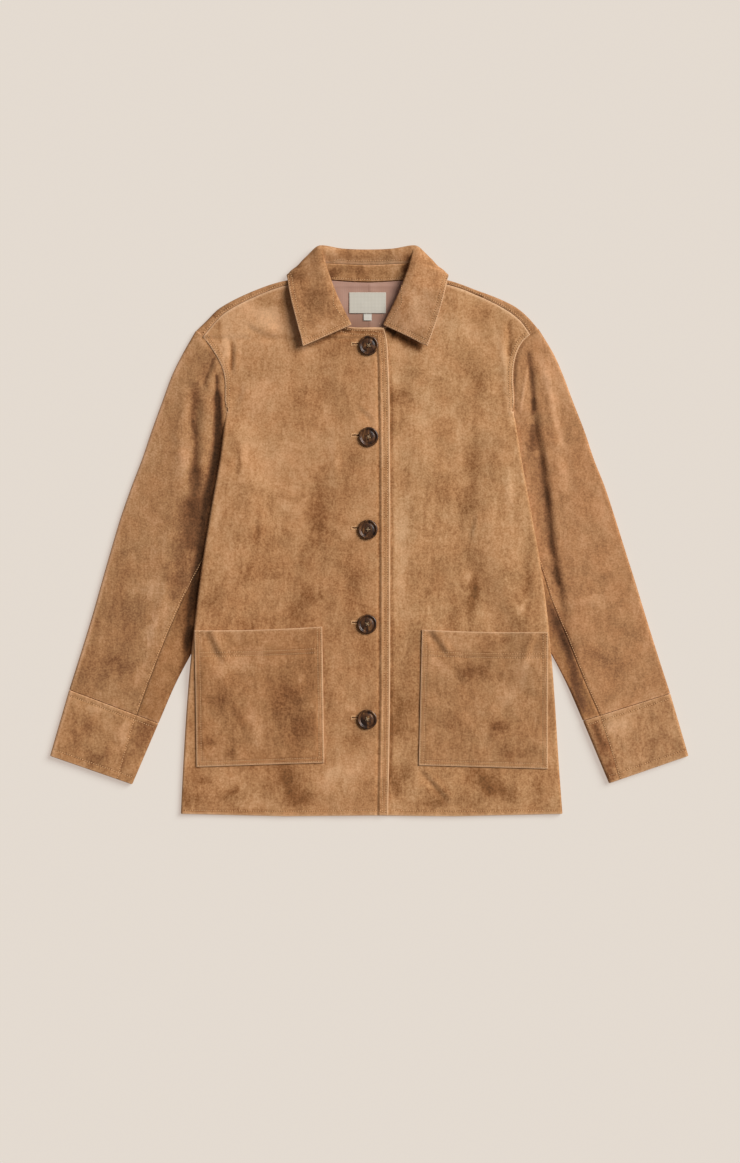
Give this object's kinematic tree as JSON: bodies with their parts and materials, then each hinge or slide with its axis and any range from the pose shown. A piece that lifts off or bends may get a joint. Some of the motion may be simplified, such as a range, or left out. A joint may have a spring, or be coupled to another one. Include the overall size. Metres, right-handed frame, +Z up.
{
  "type": "suede jacket",
  "caption": "Button-front suede jacket laid flat, front up, with a shirt collar, patch pockets, drop shoulders, deep cuffs and a satin-lined neck.",
  "frame": {"origin": "bottom centre of the bounding box, on the surface that the jacket lies on", "axes": "+Z up out of the front of the jacket, +Y from the hem towards the collar, +X across from the lapping front to the other"},
  "size_m": [0.8096, 0.7254, 0.0197],
  "materials": {
    "suede": "tan suede with a mottled brushed nap",
    "lining_satin": "dusty rose satin",
    "label_tape": "cream woven tape",
    "horn": "polished dark brown horn with lighter streaks"
  },
  "bodies": {
    "root": {"front_left": "suede", "front_right": "suede", "back": "suede", "top_sleeve_left": "suede", "top_sleeve_right": "suede", "under_sleeve_left": "suede", "under_sleeve_right": "suede", "cuff_left": "suede", "cuff_right": "suede", "collar": "suede", "collar_stand": "suede", "pocket_left": "suede", "pocket_right": "suede", "back_lining": "lining_satin", "neck_label": "label_tape", "size_tab": "label_tape", "button_1": "horn", "button_2": "horn", "button_3": "horn", "button_4": "horn", "button_5": "horn"}
  },
  "joints": []
}
